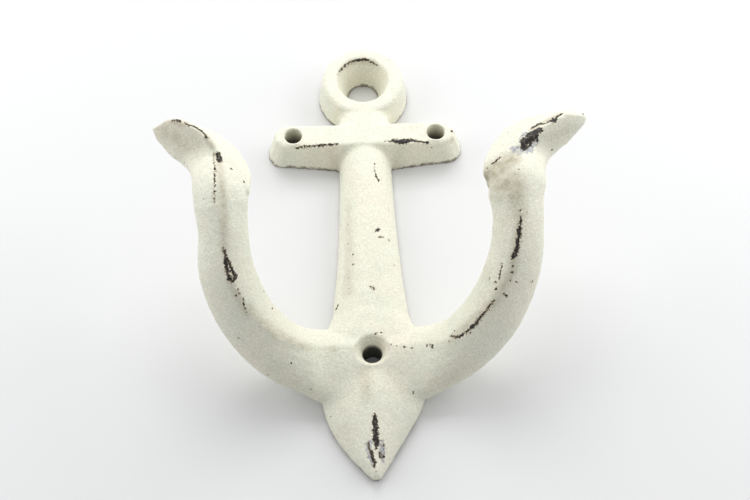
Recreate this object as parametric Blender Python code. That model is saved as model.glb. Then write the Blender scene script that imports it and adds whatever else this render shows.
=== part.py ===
"""Double wall hook cast in the shape of a fluke anchor.

The hook lies on its back.  +Z points out of the wall, +Y runs up the shank to
the ring and +X is to the right as seen from the front.  The origin is on the
centre line at mid length, on the wall plane.  Lengths are in millimetres and are
scaled to metres when a mesh is made.
"""

import math

import bmesh
import bpy
from mathutils import Vector

MM = 0.001
JOINT_GAP = 0.3
PAINT_COLOUR = (0.80, 0.77, 0.68)
PAINT_ROUGHNESS = 0.55
CREASE_ANGLE = 40.0
TRIM_REACH = 50.0

# Overall
LENGTH = 127.0
THICKNESS = 9.0
TIP_Y = -LENGTH / 2

# Ring
RING_BASE_R = 12.5
RING_FRONT_R = 11.4
RING_HOLE_FRONT_R = 7.0
RING_HOLE_BACK_R = 4.0
RING_EDGE_R = 1.6
RING_EDGE_STEPS = 5
RING_HOLE_CHAMFER = 0.5
RING_Y = LENGTH / 2 - RING_BASE_R
RING_STEPS = 56

# Stock, the cross bar that takes the two upper screws.  Its base is deepest at
# the shank, narrows until STOCK_TAPER of the way out, then rounds off.
STOCK_Y = 33.0
STOCK_FRONT = 8.9
STOCK_HALF_FRONT = 24.3
STOCK_HALF_BASE = 26.7
STOCK_FRONT_HALF_HEIGHT = 3.3
STOCK_BASE_BELOW = (7.4, 4.6)
STOCK_BASE_ABOVE = (5.6, 4.7)
STOCK_TAPER = 0.8
STOCK_ROUNDING = 0.14
STOCK_END = 0.4
STOCK_EDGE = 0.7
STOCK_STEPS = 28

# Screw holes
SCREW_SPACING = 39.0
SCREW_HOLE_R = 2.3
BOSS_FRONT_R = 2.9
BOSS_BASE_R = 3.9
BOSS_EDGE = 0.2
BOSS_FOOT = 0.05
BOSS_FRONT = 9.15
CUTTER_OVERSHOOT = 1.0

# Neck between the stock and the ring: height above the stock's centre, half width
NECK = ((0.5, 10.5), (3.6, 9.3), (5.2, 7.6), (7.0, 6.9), (8.6, 7.6), (10.2, 8.8))
NECK_FRONT = 8.9
NECK_ARCH = 3.4

# Crown, with the lower screw in a countersunk seat
CROWN_Y = -32.5
CROWN_HALF = 13.0
CROWN_HOLE_R = 2.35
CROWN_STEPS = 6
SEAT_TOP = 10.9
SEAT_TOP_R = 4.95
SEAT_FLOOR = 7.6

# Seams where the casting is divided into its named parts
RING_SEAM_Y = RING_Y - RING_BASE_R + 0.5
STOCK_SEAM_Y = STOCK_Y - 7.6
SHANK_FOOT_Y = CROWN_Y + 13.0
POINT_SEAM_Y = CROWN_Y - 10.5

# Shank: half widths, hollow of its front, and the roundness of its arch
SHANK_TOP_HALF = 7.2
SHANK_FOOT_HALF = 10.0
SHANK_FRONT = (8.5, 9.0)
SHANK_DIP = 0.5
SHANK_FLARE = 1.8
SHANK_ARCH = 2.3
SHANK_STEPS = 12
SHANK_HEAD_Y = STOCK_Y - 2.0

# Foot of the shank on the crown: distance below the seam, half width, height
FOOT = ((0.0, 10.0, 9.0), (3.0, 11.2, 9.5), (7.0, 14.0, 10.0), (11.0, 15.0, 10.2))

# Point below the crown, from its start to its tip: half width, ridge height, edge.
# POINT_TAPER and POINT_FALL bend the fall of the width and of the ridge.
POINT_HALF = (13.0, 0.8)
POINT_FRONT = (9.0, 3.8)
POINT_EDGE = (2.4, 1.4)
POINT_ROOT = 13.5
POINT_ROOT_FLARE = 0.6
POINT_LEFT_FULLNESS = 1.8
POINT_ARCH = 1.45
POINT_TAPER = 1.15
POINT_FALL = 1.3
POINT_STEPS = 12

# Arms.  Each row is a centre (out from the middle, up from the crown screw, off
# the wall), then the section's reach towards the shank, away from it, to the
# front ridge and to the back.  The casting's two sides differ a little.
CROWN_MIDDLE = ((0.0, 0.8, 4.6), (7.0, 11.0, 6.0, 4.6))
ARM_ROOT = (
    ((13.0, 0.8, 4.8), (7.6, 12.8, 6.2, 4.8)),
    ((17.5, 0.5, 7.6), (7.2, 10.3, 6.2, 6.2)),
    ((23.5, 1.4, 12.6), (6.8, 8.7, 6.3, 6.4)),
    ((30.0, 5.5, 21.0), (6.4, 8.0, 6.2, 6.0)),
)
ARM = {
    "left": (
        *ARM_ROOT,
        ((34.2, 12.5, 30.5), (6.2, 7.4, 6.0, 5.6)),
        ((34.9, 19.6, 37.2), (5.9, 6.3, 5.6, 5.4)),
        ((35.9, 25.0, 41.0), (7.2, 6.0, 5.4, 5.0)),
    ),
    "right": (
        *ARM_ROOT,
        ((34.4, 12.5, 30.5), (6.0, 7.4, 6.0, 5.6)),
        ((35.8, 20.0, 37.6), (5.9, 6.5, 5.6, 5.4)),
        ((36.2, 25.0, 41.0), (7.2, 6.1, 5.4, 5.0)),
    ),
}
# The arm's last stretch, inside its fluke
FLUKE_ROOT = {
    "left": (
        ARM["left"][-1],
        ((36.3, 28.6, 42.6), (6.8, 5.9, 5.2, 4.9)),
        ((36.6, 33.0, 42.9), (5.6, 6.5, 4.3, 4.2)),
        ((37.2, 37.5, 41.2), (3.6, 7.7, 4.2, 3.2)),
    ),
    "right": (
        ARM["right"][-1],
        ((36.9, 28.8, 42.7), (6.8, 6.3, 5.2, 4.9)),
        ((38.0, 33.2, 42.7), (5.6, 5.9, 4.3, 4.2)),
        ((39.4, 37.6, 41.2), (3.6, 6.6, 4.0, 3.2)),
    ),
}
# Palm and bill: points round the rim from the shoulder over the top to the bill
# and back underneath, then along the crest where the arm's ridge meets the palm
PALM = {
    "left": (
        (28.6, 26.6, 42.0), (28.2, 27.3, 43.0), (27.8, 31.5, 42.5), (28.8, 35.7, 41.8),
        (30.9, 39.7, 41.5), (33.9, 42.9, 42.0), (37.2, 44.7, 43.2), (41.4, 45.7, 45.4),
        (45.5, 45.7, 48.1), (48.9, 46.9, 46.2), (52.8, 46.8, 42.7), (51.7, 44.4, 41.3),
        (49.0, 41.1, 40.4), (44.7, 36.5, 39.6),
        (36.1, 36.7, 47.4), (38.5, 40.0, 48.6), (42.5, 43.2, 48.3),
    ),
    "right": (
        (29.0, 27.3, 40.8), (27.7, 30.3, 43.0), (28.6, 34.8, 42.2), (30.6, 39.2, 41.5),
        (34.2, 44.3, 41.0), (39.3, 46.6, 42.0), (45.6, 47.2, 44.0), (51.1, 47.2, 45.5),
        (54.5, 44.5, 46.0), (54.0, 42.8, 45.0), (50.0, 39.7, 42.0), (46.3, 36.7, 40.0),
        (38.7, 36.7, 48.0), (43.8, 40.5, 48.6), (48.7, 43.6, 48.2),
    ),
}
# The palm's back is the same rim, smaller and moved this far
PALM_BACK = (0.0, 2.2, -6.0)
PALM_BACK_SCALE = 0.72
# Lean of the ridge towards the point, in degrees, and how sharp the ridge is
RIDGE_LEAN = 28.0
ARM_SHARPNESS = 1.35
ARM_POINTS = 28
ARM_STEPS = 4
ROOT_RINGS = 9


def paint(name):
    """Cream paint over cast iron, as a Principled BSDF material."""
    material = bpy.data.materials.new(f"{name}_paint")
    material.use_nodes = True
    shader = material.node_tree.nodes["Principled BSDF"]
    shader.inputs["Base Color"].default_value = (*PAINT_COLOUR, 1.0)
    shader.inputs["Roughness"].default_value = PAINT_ROUGHNESS
    shader.inputs["Metallic"].default_value = 0.0
    return material


def add_object(name, bm, material=None):
    """Scale a millimetre bmesh to metres and put it in the scene."""
    bmesh.ops.recalc_face_normals(bm, faces=bm.faces)
    bmesh.ops.scale(bm, vec=(MM, MM, MM), verts=bm.verts)
    mesh = bpy.data.meshes.new(name)
    bm.to_mesh(mesh)
    bm.free()
    mesh.shade_smooth()
    mesh.set_sharp_from_angle(angle=math.radians(CREASE_ANGLE))
    thing = bpy.data.objects.new(name, mesh)
    bpy.context.scene.collection.objects.link(thing)
    if material:
        mesh.materials.append(material)
    else:
        thing.hide_render = True
        thing.display_type = "WIRE"
    return thing


def boolean(thing, tool, operation):
    """Add or cut away a hidden tool body."""
    modifier = thing.modifiers.new(f"{operation.title()} {tool.name}", "BOOLEAN")
    modifier.operation = operation
    modifier.object = tool
    modifier.solver = "EXACT"


def loft(rings):
    """A closed bmesh skinned over rings that hold the same number of points."""
    bm = bmesh.new()
    loops = [[bm.verts.new(point) for point in ring] for ring in rings]
    count = len(loops[0])
    for low, high in zip(loops, loops[1:]):
        for i in range(count):
            j = (i + 1) % count
            bm.faces.new((low[i], low[j], high[j], high[i]))
    bm.faces.new(reversed(loops[0]))
    bm.faces.new(loops[-1])
    return bm


def block(name, low, high):
    """A hidden box cutter."""
    bm = bmesh.new()
    bmesh.ops.create_cube(bm, size=1.0)
    for vert in bm.verts:
        vert.co = Vector([(a + b) / 2 + c * (b - a) for a, b, c in zip(low, high, vert.co)])
    return add_object(name, bm)


def turned(name, centre, outline, steps=32):
    """A hidden body turned about +Z; the outline is (radius, height), bottom to top."""
    x, y = centre
    rings = []
    for radius, height in outline:
        angles = [2 * math.pi * i / steps for i in range(steps)]
        rings.append([Vector((x + radius * math.cos(a), y + radius * math.sin(a), height)) for a in angles])
    return add_object(name, loft(rings))


def catmull(rows, steps):
    """Smooth rows of numbers with a Catmull-Rom curve through each of them."""
    padded = [rows[0], *rows, rows[-1]]
    out = []
    for four in zip(padded, padded[1:], padded[2:], padded[3:]):
        for k in range(steps):
            out.append([catmull_value(*values, k / steps) for values in zip(*four)])
    out.append(list(rows[-1]))
    return out


def catmull_value(a, b, c, d, t):
    """The curve t of the way from b to c, with a before them and d after."""
    bend = 2 * a - 5 * b + 4 * c - d
    twist = 3 * b - a - 3 * c + d
    return 0.5 * (2 * b + (c - a) * t + bend * t * t + twist * t ** 3)


def power(value, exponent):
    """A signed power, for super-ellipses."""
    return math.copysign(abs(value) ** exponent, value)


def arm_section(centre, reach, along, lean, sharpness):
    """A rounded-diamond ring square to the direction the arm runs in."""
    inner, outer, front, back = reach
    tangent = Vector(along).normalized()
    facing = Vector((0.0, -math.sin(lean), math.cos(lean)))
    facing = (facing - tangent * facing.dot(tangent)).normalized()
    side = facing.cross(tangent)
    ring = []
    for i in range(ARM_POINTS):
        angle = 2 * math.pi * i / ARM_POINTS
        c, s = math.cos(angle), math.sin(angle)
        sharp = sharpness if s > 0 else 1.0
        u = power(c, sharp) * (inner if c > 0 else outer)
        v = power(s, sharp) * (front if s > 0 else back)
        point = Vector(centre) + side * u + facing * v
        ring.append(Vector((point.x, point.y + CROWN_Y, max(point.z, 0.0))))
    return ring


def swept(rows, start_lean, rooted):
    """Smooth rings along the rows; the ridge leans from start_lean to RIDGE_LEAN."""
    path = catmull([[*centre, *reach] for centre, reach in rows], ARM_STEPS)
    rings = []
    for i, row in enumerate(path):
        before, after = path[max(i - 1, 0)], path[min(i + 1, len(path) - 1)]
        along = Vector([b - a for a, b in zip(before[:3], after[:3])]).normalized()
        if rooted:
            along = Vector((1.0, 0.0, 0.0)).lerp(along, min(i / ROOT_RINGS, 1.0))
        lean = math.radians(mix((start_lean, RIDGE_LEAN), i / (len(path) - 1)))
        rings.append(arm_section(row[:3], row[3:], along, lean, ARM_SHARPNESS))
    return rings


def mirrored(rings):
    """The same rings on the other side of the shank."""
    return [[Vector((-p.x, p.y, p.z)) for p in ring] for ring in rings]


def mix(ends, t):
    """The value t of the way from the first end to the second."""
    return ends[0] + (ends[1] - ends[0]) * t


def arch(y, half, height, roundness=SHANK_ARCH, points=20, edge=0.0):
    """A flat-bottomed arch across the shank at one place along it."""
    ring = []
    for i in range(points + 1):
        angle = math.pi * i / points
        x = half * power(math.cos(angle), 2 / roundness)
        z = edge + (height - edge) * power(math.sin(angle), 2 / roundness)
        ring.append(Vector((x, y, z)))
    if edge > 0.0:
        ring = [Vector((half, y, 0.0)), *ring, Vector((-half, y, 0.0))]
    return ring


def ring_outline():
    """Half section of the eye, as (radius, height)."""
    outline = [(RING_HOLE_BACK_R, 0.0), (RING_BASE_R, 0.0)]
    for i in range(RING_EDGE_STEPS + 1):
        angle = math.pi / 2 * i / RING_EDGE_STEPS
        radius = RING_FRONT_R - RING_EDGE_R * (1.0 - math.cos(angle))
        outline.append((radius, THICKNESS - RING_EDGE_R * (1.0 - math.sin(angle))))
    outline.append((RING_HOLE_FRONT_R + RING_HOLE_CHAMFER, THICKNESS))
    outline.append((RING_HOLE_FRONT_R, THICKNESS - RING_HOLE_CHAMFER))
    return outline


def make_ring(material):
    """The eye at the head: a drafted ring whose hole narrows towards the wall."""
    bm = bmesh.new()
    verts = [bm.verts.new((radius, 0.0, height)) for radius, height in ring_outline()]
    for a, b in zip(verts, verts[1:] + verts[:1]):
        bm.edges.new((a, b))
    bmesh.ops.spin(
        bm,
        geom=list(bm.edges),
        cent=(0.0, 0.0, 0.0),
        axis=(0.0, 0.0, 1.0),
        angle=2 * math.pi,
        steps=RING_STEPS,
        use_merge=True,
    )
    bmesh.ops.remove_doubles(bm, verts=bm.verts, dist=0.001)
    bmesh.ops.translate(bm, vec=(0.0, RING_Y, 0.0), verts=bm.verts)
    ring = add_object("ring", bm, material)
    boolean(ring, neck_web("ring_web"), "UNION")
    low, high = (-TRIM_REACH, RING_SEAM_Y - TRIM_REACH, -TRIM_REACH), (TRIM_REACH, RING_SEAM_Y, TRIM_REACH)
    boolean(ring, block("ring_trim", low, high), "DIFFERENCE")


def neck_web(name):
    """The narrow web between the ring and the stock."""
    return add_object(name, loft([arch(STOCK_Y + up, half, NECK_FRONT, NECK_ARCH) for up, half in NECK]))


def stock_section(u):
    """One section across the stock; u runs from -1 to 1 along it."""
    base_x, front_x = STOCK_HALF_BASE * u, STOCK_HALF_FRONT * u
    out = abs(u)
    taper = min(out / STOCK_TAPER, 1.0)
    past = max((out - 1.0 + STOCK_ROUNDING) / STOCK_ROUNDING, 0.0)
    rounding = math.sqrt(max(1.0 - past ** 2, STOCK_END ** 2))
    below, above = (mix(ends, taper) * rounding for ends in (STOCK_BASE_BELOW, STOCK_BASE_ABOVE))
    half = STOCK_FRONT_HALF_HEIGHT * rounding
    edge = STOCK_EDGE / 2
    return [
        Vector((base_x, STOCK_Y - below, 0.0)),
        Vector((base_x, STOCK_Y + above, 0.0)),
        Vector((front_x, STOCK_Y + half + edge, STOCK_FRONT - STOCK_EDGE)),
        Vector((front_x, STOCK_Y + half - edge, STOCK_FRONT)),
        Vector((front_x, STOCK_Y - half + edge, STOCK_FRONT)),
        Vector((front_x, STOCK_Y - half - edge, STOCK_FRONT - STOCK_EDGE)),
    ]


def make_stock(material):
    """The cross bar with drafted sides, two bosses and the head of the shank."""
    rings = [stock_section(-math.cos(math.pi * i / STOCK_STEPS)) for i in range(STOCK_STEPS + 1)]
    stock = add_object("stock", loft(rings), material)
    boolean(stock, neck_web("stock_web"), "UNION")
    head = [arch(y, SHANK_TOP_HALF, SHANK_FRONT[0]) for y in (STOCK_SEAM_Y, SHANK_HEAD_Y)]
    boolean(stock, add_object("shank_head", loft(head)), "UNION")
    boss = (
        (BOSS_BASE_R, BOSS_FOOT),
        (BOSS_FRONT_R, BOSS_FRONT - BOSS_EDGE),
        (BOSS_FRONT_R - BOSS_EDGE, BOSS_FRONT),
    )
    hole = ((SCREW_HOLE_R, -CUTTER_OVERSHOOT), (SCREW_HOLE_R, BOSS_FRONT + CUTTER_OVERSHOOT))
    for side, x in (("left", -SCREW_SPACING / 2), ("right", SCREW_SPACING / 2)):
        boolean(stock, turned(f"boss_{side}", (x, STOCK_Y), boss), "UNION")
        boolean(stock, turned(f"hole_{side}", (x, STOCK_Y), hole), "DIFFERENCE")
    top = RING_SEAM_Y - JOINT_GAP
    low, high = (-TRIM_REACH, top, -TRIM_REACH), (TRIM_REACH, top + TRIM_REACH, TRIM_REACH)
    boolean(stock, block("stock_trim", low, high), "DIFFERENCE")


def make_shank(material):
    """The arched bar from the crown up to the stock, wider at its foot."""
    top, foot = STOCK_SEAM_Y - JOINT_GAP, SHANK_FOOT_Y + JOINT_GAP
    rings = []
    for i in range(SHANK_STEPS + 1):
        t = i / SHANK_STEPS
        half = mix((SHANK_TOP_HALF, SHANK_FOOT_HALF), t ** SHANK_FLARE)
        height = mix(SHANK_FRONT, t) - SHANK_DIP * math.sin(math.pi * t)
        rings.append(arch(mix((top, foot), t), half, height))
    add_object("shank", loft(rings), material)


def crown_bar():
    """Rings across the crown, from the root of one arm to the root of the other."""
    middle, root = ([*centre, *reach] for centre, reach in (CROWN_MIDDLE, ARM_ROOT[0]))
    rings = []
    for k in range(-CROWN_STEPS, CROWN_STEPS + 1):
        row = [mix(ends, (k / CROWN_STEPS) ** 2) for ends in zip(middle, root)]
        row[0] = CROWN_HALF * k / CROWN_STEPS
        rings.append(arm_section(row[:3], row[3:], (1.0, 0.0, 0.0), 0.0, ARM_SHARPNESS))
    return rings


def make_crown(material):
    """The body that the shank, the arms and the point grow from."""
    crown = add_object("crown", loft(crown_bar()), material)
    foot = [arch(SHANK_FOOT_Y - down, half, height) for down, half, height in FOOT]
    boolean(crown, add_object("shank_foot", loft(foot)), "UNION")
    boolean(crown, add_object("point_root", point_body(POINT_SEAM_Y + POINT_ROOT, POINT_SEAM_Y)), "UNION")
    outer, below = CROWN_HALF + TRIM_REACH, POINT_SEAM_Y - TRIM_REACH
    trims = {
        "left": ((-outer, below, -TRIM_REACH), (-CROWN_HALF, SHANK_FOOT_Y, TRIM_REACH)),
        "right": ((CROWN_HALF, below, -TRIM_REACH), (outer, SHANK_FOOT_Y, TRIM_REACH)),
        "point": ((-outer, below - 1.0, -TRIM_REACH - 1.0), (outer, POINT_SEAM_Y, TRIM_REACH + 1.0)),
    }
    for name, (low, high) in trims.items():
        boolean(crown, block(f"crown_trim_{name}", low, high), "DIFFERENCE")
    seat = ((CROWN_HOLE_R, SEAT_FLOOR), (SEAT_TOP_R, SEAT_TOP))
    boolean(crown, turned("seat_cutter", (0.0, CROWN_Y), seat), "DIFFERENCE")
    hole = ((CROWN_HOLE_R, -CUTTER_OVERSHOOT), (CROWN_HOLE_R, SEAT_FLOOR + CUTTER_OVERSHOOT))
    boolean(crown, turned("crown_hole", (0.0, CROWN_Y), hole), "DIFFERENCE")


def point_body(start, end):
    """A ridged spade that tapers from the crown to the tip, fuller on its left."""
    rings = []
    for i in range(POINT_STEPS + 1):
        y = mix((start, end), i / POINT_STEPS)
        above = max(y - POINT_SEAM_Y, 0.0)
        down = min(max((POINT_SEAM_Y - y) / (POINT_SEAM_Y - TIP_Y), 0.0), 1.0)
        half = mix(POINT_HALF, down ** POINT_TAPER) + POINT_ROOT_FLARE * above
        height = mix(POINT_FRONT, down ** POINT_FALL)
        ring = arch(y, half, height, POINT_ARCH, POINT_STEPS, mix(POINT_EDGE, down))
        for point in ring:
            if point.x < 0.0:
                point.x *= 1.0 + POINT_LEFT_FULLNESS * math.sin(math.pi * down) / half
        rings.append(ring)
    return loft(rings)


def make_point(material):
    """The separate body of the point, below its seam."""
    add_object("crown_point", point_body(POINT_SEAM_Y - JOINT_GAP, TIP_Y), material)


def arm_rings(side):
    """One arm, sweeping out, forwards and up from the flat side of the crown."""
    rings = swept(ARM[side], 0.0, True)
    rings[0] = [Vector((CROWN_HALF + JOINT_GAP, point.y, point.z)) for point in crown_bar()[-1]]
    return rings


def fluke_rings(side):
    """The end of the arm inside its fluke, starting a gap away from the arm's flat end."""
    rings = swept(FLUKE_ROOT[side], RIDGE_LEAN, False)
    end = arm_rings(side)[-1]
    quarter = ARM_POINTS // 4
    across = (end[quarter] - end[0]).cross(end[2 * quarter] - end[0]).normalized()
    rings[0] = [point + across * JOINT_GAP for point in end]
    return rings


def palm_body(side):
    """The pointed palm and its bill, the hull of its rim, its crest and its back."""
    front = [Vector((x, y + CROWN_Y, z)) for x, y, z in PALM[side]]
    middle = sum(front, Vector()) / len(front)
    back = [middle + (point - middle) * PALM_BACK_SCALE + Vector(PALM_BACK) for point in front]
    way = 1.0 if side == "right" else -1.0
    bm = bmesh.new()
    verts = [bm.verts.new((way * point.x, point.y, point.z)) for point in front + back]
    hull = bmesh.ops.convex_hull(bm, input=verts)
    inside = {v for v in hull["geom_interior"] + hull["geom_unused"] if isinstance(v, bmesh.types.BMVert)}
    bmesh.ops.delete(bm, geom=list(inside), context="VERTS")
    return bm


def make_limbs(side):
    """The arm and the fluke on one side of the shank."""
    for name, rings in (("arm", arm_rings(side)), ("fluke", fluke_rings(side))):
        body = loft(rings if side == "right" else mirrored(rings))
        limb = add_object(f"{name}_{side}", body, paint(f"{name}_{side}"))
    boolean(limb, add_object(f"palm_{side}", palm_body(side)), "UNION")


def main():
    for thing in list(bpy.data.objects):
        bpy.data.objects.remove(thing)
    make_ring(paint("ring"))
    make_stock(paint("stock"))
    make_shank(paint("shank"))
    make_crown(paint("crown"))
    make_point(paint("crown_point"))
    make_limbs("left")
    make_limbs("right")


main()
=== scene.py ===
"""Painted cast-iron double wall hook, lying on its back on a pale floor.

Every piece is cut from one continuous skin grown round the CAD nodes, so the
paint and the cast surface run unbroken over the seams between them.  Lengths
are in millimetres unless a name or a comment says otherwise.
"""

import math
from copy import copy

import bmesh
import bpy
import numpy as np
from mathutils import Matrix, Vector, noise
from mathutils.bvhtree import BVHTree


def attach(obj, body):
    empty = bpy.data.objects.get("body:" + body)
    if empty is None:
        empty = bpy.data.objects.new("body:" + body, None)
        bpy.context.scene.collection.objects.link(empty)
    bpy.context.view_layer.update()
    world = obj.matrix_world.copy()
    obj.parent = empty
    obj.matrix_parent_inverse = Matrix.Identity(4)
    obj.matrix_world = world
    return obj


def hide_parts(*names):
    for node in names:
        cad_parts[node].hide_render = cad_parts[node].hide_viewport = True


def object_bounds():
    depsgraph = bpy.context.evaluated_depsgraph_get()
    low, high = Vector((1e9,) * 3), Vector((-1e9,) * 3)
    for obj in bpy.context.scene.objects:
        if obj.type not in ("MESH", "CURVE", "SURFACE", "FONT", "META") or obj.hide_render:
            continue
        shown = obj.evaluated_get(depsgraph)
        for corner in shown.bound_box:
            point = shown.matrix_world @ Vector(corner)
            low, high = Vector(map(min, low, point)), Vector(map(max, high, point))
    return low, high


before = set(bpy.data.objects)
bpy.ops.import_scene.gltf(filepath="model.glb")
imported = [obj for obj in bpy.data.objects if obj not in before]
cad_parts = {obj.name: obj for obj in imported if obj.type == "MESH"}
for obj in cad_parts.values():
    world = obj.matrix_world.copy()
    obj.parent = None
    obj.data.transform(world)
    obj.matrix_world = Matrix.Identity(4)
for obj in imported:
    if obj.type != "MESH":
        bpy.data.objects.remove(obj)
cad_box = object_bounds()

MM = 0.001
NODES = (
    "ring", "stock", "shank", "crown", "crown_point",
    "arm_left", "arm_right", "fluke_left", "fluke_right",
)
SLOTS = {
    "ring": "paint_ring",
    "stock": "paint_stock",
    "shank": "paint_shank",
    "crown": "paint_crown",
    "crown_point": "paint_point",
    "arm_left": "paint_arms",
    "arm_right": "paint_arms",
    "fluke_left": "paint_flukes",
    "fluke_right": "paint_flukes",
}

# Skin.  CAP_REACH tells the points on a node's cut faces, OVERLAP is how far they move
# over the seam, and the points below BACK_KEEP stay down on the flat back.
VOXEL = 0.36
OVERLAP = 0.45
CAP_REACH = 0.25
FAIR_PASSES = 6
FAIR_STEPS = (0.5, -0.53)
SOFT_FAIR_PASSES = 20
ROUNDING_PASSES = 70
NORMALS_EVERY = 5
STRIDE = 0.8
BACK_KEEP = 0.3
# Where the casting's edges stay crisp, each pair the span over which that sets in:
# its head, above HEAD_Y and below HEAD_Z, and by PALM_SHARE the palms, above PALM_Y and PALM_Z
HEAD_Y = (22.0, 26.0)
HEAD_Z = (12.0, 16.0)
PALM_Y = (-8.0, -3.0)
PALM_Z = (30.0, 36.0)
PALM_SHARE = 0.8
# The crown's screw seat
SCREW_Y = -32.5
SEAT_REACH = 5.2
SEAT_BLEND = 1.0

# Least radius of the hollows and of the edges: usual, then near each of the places
# below, given as (centre, reach, hollows, edges)
FILLET_R = 2.6
EDGE_R = 0.7
PLACES = (
    ((0.0, -39.0, 8.0), 15.0, 10.0, 2.5),
    ((-12.0, -21.0, 6.0), 8.0, 3.2, 0.7),
    ((12.0, -21.0, 6.0), 8.0, 4.0, 0.7),
    ((-14.0, -43.0, 3.0), 10.0, 6.0, 1.2),
    ((14.0, -43.0, 3.0), 10.0, 6.0, 1.2),
    ((-43.0, 1.0, 42.0), 9.0, 7.0, 0.7),
    ((43.0, 1.0, 42.0), 9.0, 7.0, 0.7),
    ((-29.0, -6.0, 42.0), 6.0, 5.0, 0.7),
    ((29.0, -6.0, 42.0), 6.0, 5.0, 0.7),
)
PLACE_BLEND = 0.45
# Where the shapes melt into each other: (centre, reach, hollows, edges).  Each place
# moves freely up to MELT_RIM of its reach, and is held near the back by MELT_FOOT.
MELTS = (
    ((0.0, -46.5, 5.0), 15.0, 16.0, 7.0),
    ((-13.0, -42.0, 5.0), 9.0, 12.0, 2.0),
    ((13.0, -42.0, 5.0), 9.0, 12.0, 2.0),
    ((-39.5, 1.0, 43.0), 12.0, 10.0, 1.0),
    ((40.5, 1.0, 43.0), 12.0, 10.0, 1.0),
    ((44.5, 2.5, 41.0), 6.5, 10.0, 6.0),
    ((-43.0, 2.5, 41.0), 6.5, 10.0, 6.0),
    ((-30.0, -7.0, 41.0), 8.0, 7.0, 0.9),
    ((30.5, -7.0, 41.0), 8.0, 7.0, 0.9),
)
MELT_PASSES = 240
MELT_NORMALS_EVERY = 20
MELT_RIM = -0.55
MELT_FOOT = (2.5, 5.0)

# Cast surface: (wavelength, height) of each layer of lumps
LUMPS = ((14.0, 0.16), (5.0, 0.07), (1.7, 0.035), (0.85, 0.022))

# Screw holes, painted dark inside as shade: (x, y, radius, height of the mouth, depth to full
# painted shade).
# Smoothing closes them a little, so they are opened again, the lower one's mouth most.
BORES = (
    (0.0, SCREW_Y, 2.9, 7.7, 2.2),
    (-19.5, 33.0, 2.8, 8.9, 9.0),
    (19.5, 33.0, 2.8, 8.9, 9.0),
)
BORE_FILLET_R = 1.2
BORE_OPEN = 0.12
BORE_FLARE = 0.15
BORE_FLARE_DEPTH = 3.0
BORE_BLEND = (0.3, 0.4)

# How sharply the surface bends, for the painted shade in the hollows and the pinholes on the
# ridges: blurred over this many passes
BEND_PASSES = 30
BEND_BLUR = 4

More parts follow.
